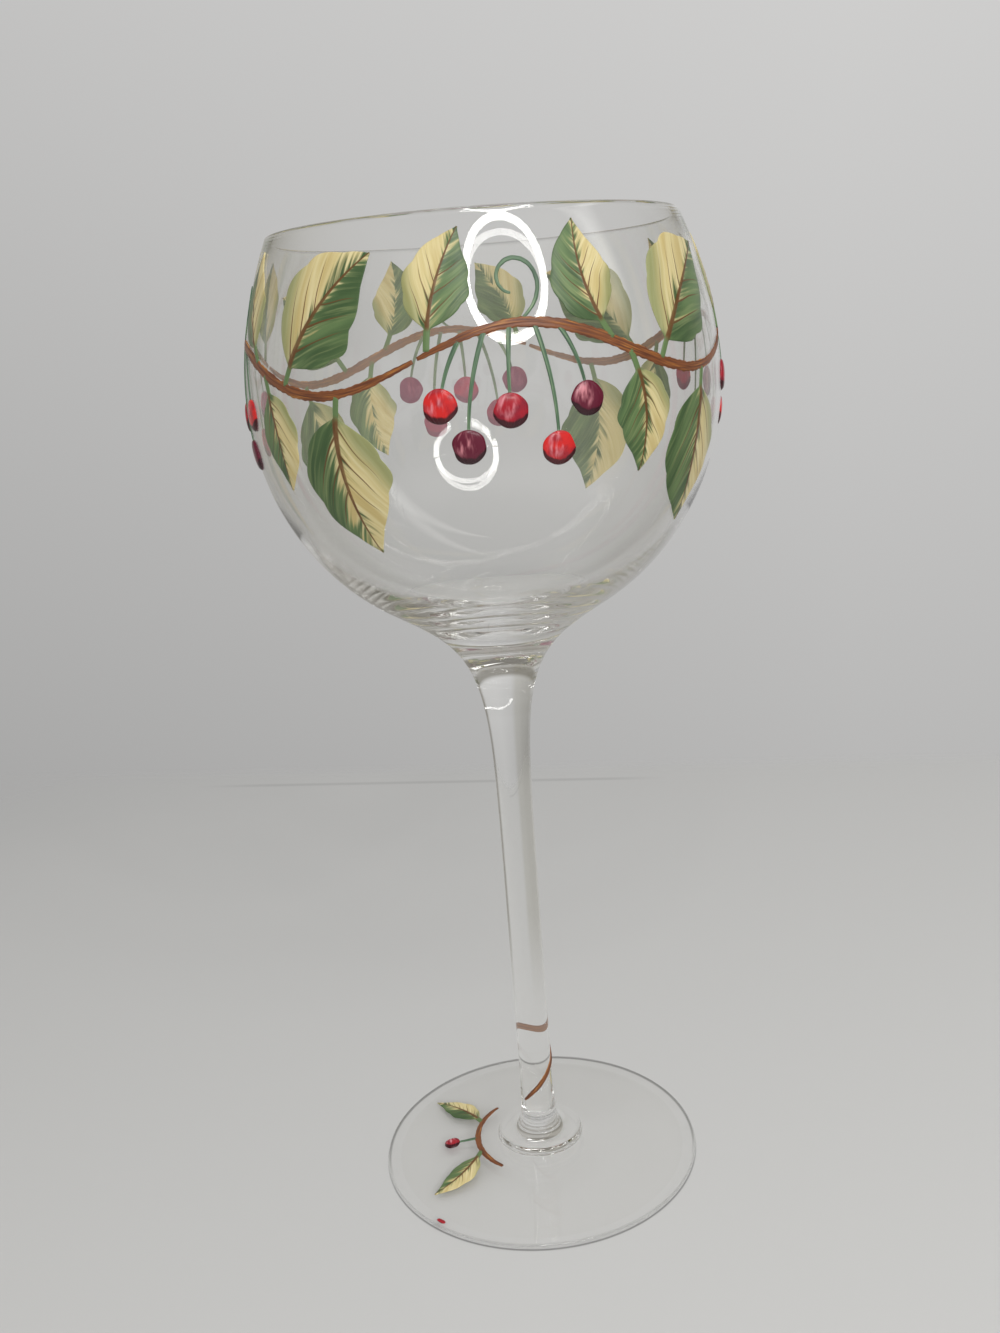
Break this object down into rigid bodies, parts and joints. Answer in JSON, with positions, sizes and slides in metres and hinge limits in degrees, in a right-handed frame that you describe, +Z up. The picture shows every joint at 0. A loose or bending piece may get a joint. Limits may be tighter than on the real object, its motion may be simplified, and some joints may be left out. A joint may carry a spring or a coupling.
{
  "type": "wine goblet",
  "caption": "Stemmed balloon wine goblet of clear glass with a raised, painted enamel garland of leaves and berries round the bowl.",
  "frame": {"origin": "on the surface that the goblet stands on, under the centre of the foot", "axes": "+Z up along the stem's axis, -Y towards the viewer of the picture, +X to that viewer's right"},
  "size_m": [0.107, 0.107, 0.23],
  "materials": {
    "clear_glass": "clear polished glass",
    "enamel_bark": "opaque fired enamel, brown with ochre streaks",
    "enamel_leaf": "opaque fired enamel, green shading into cream yellow",
    "enamel_berry": "opaque fired enamel, red to maroon",
    "enamel_stalk": "opaque fired enamel, muted green"
  },
  "bodies": {
    "root": {"foot": "clear_glass", "stem": "clear_glass", "bowl": "clear_glass", "twig_1": "enamel_bark", "twig_2": "enamel_bark", "twig_3": "enamel_bark", "twig_4": "enamel_bark", "leaf_tall_1": "enamel_leaf", "leaf_tall_2": "enamel_leaf", "leaf_tall_3": "enamel_leaf", "leaf_tall_4": "enamel_leaf", "leaf_hanging_1": "enamel_leaf", "leaf_hanging_2": "enamel_leaf", "leaf_hanging_3": "enamel_leaf", "leaf_hanging_4": "enamel_leaf", "leaf_leaning_1": "enamel_leaf", "leaf_leaning_2": "enamel_leaf", "leaf_leaning_3": "enamel_leaf", "leaf_leaning_4": "enamel_leaf", "leaf_small_1": "enamel_leaf", "leaf_small_2": "enamel_leaf", "leaf_small_3": "enamel_leaf", "leaf_small_4": "enamel_leaf", "leaf_upper_1": "enamel_leaf", "leaf_upper_2": "enamel_leaf", "leaf_upper_3": "enamel_leaf", "leaf_upper_4": "enamel_leaf", "berry_1_1": "enamel_berry", "berry_1_2": "enamel_berry", "berry_1_3": "enamel_berry", "berry_1_4": "enamel_berry", "berry_1_5": "enamel_berry", "berry_2_1": "enamel_berry", "berry_2_2": "enamel_berry", "berry_2_3": "enamel_berry", "berry_2_4": "enamel_berry", "berry_2_5": "enamel_berry", "berry_3_1": "enamel_berry", "berry_3_2": "enamel_berry", "berry_3_3": "enamel_berry", "berry_3_4": "enamel_berry", "berry_3_5": "enamel_berry", "berry_4_1": "enamel_berry", "berry_4_2": "enamel_berry", "berry_4_3": "enamel_berry", "berry_4_4": "enamel_berry", "berry_4_5": "enamel_berry", "tendril_1": "enamel_stalk", "tendril_2": "enamel_stalk", "tendril_3": "enamel_stalk", "tendril_4": "enamel_stalk", "stem_stroke": "enamel_bark", "foot_twig": "enamel_bark", "foot_leaf_back": "enamel_leaf", "foot_leaf_front": "enamel_leaf", "foot_berry": "enamel_berry", "foot_dab": "enamel_berry"}
  },
  "joints": []
}
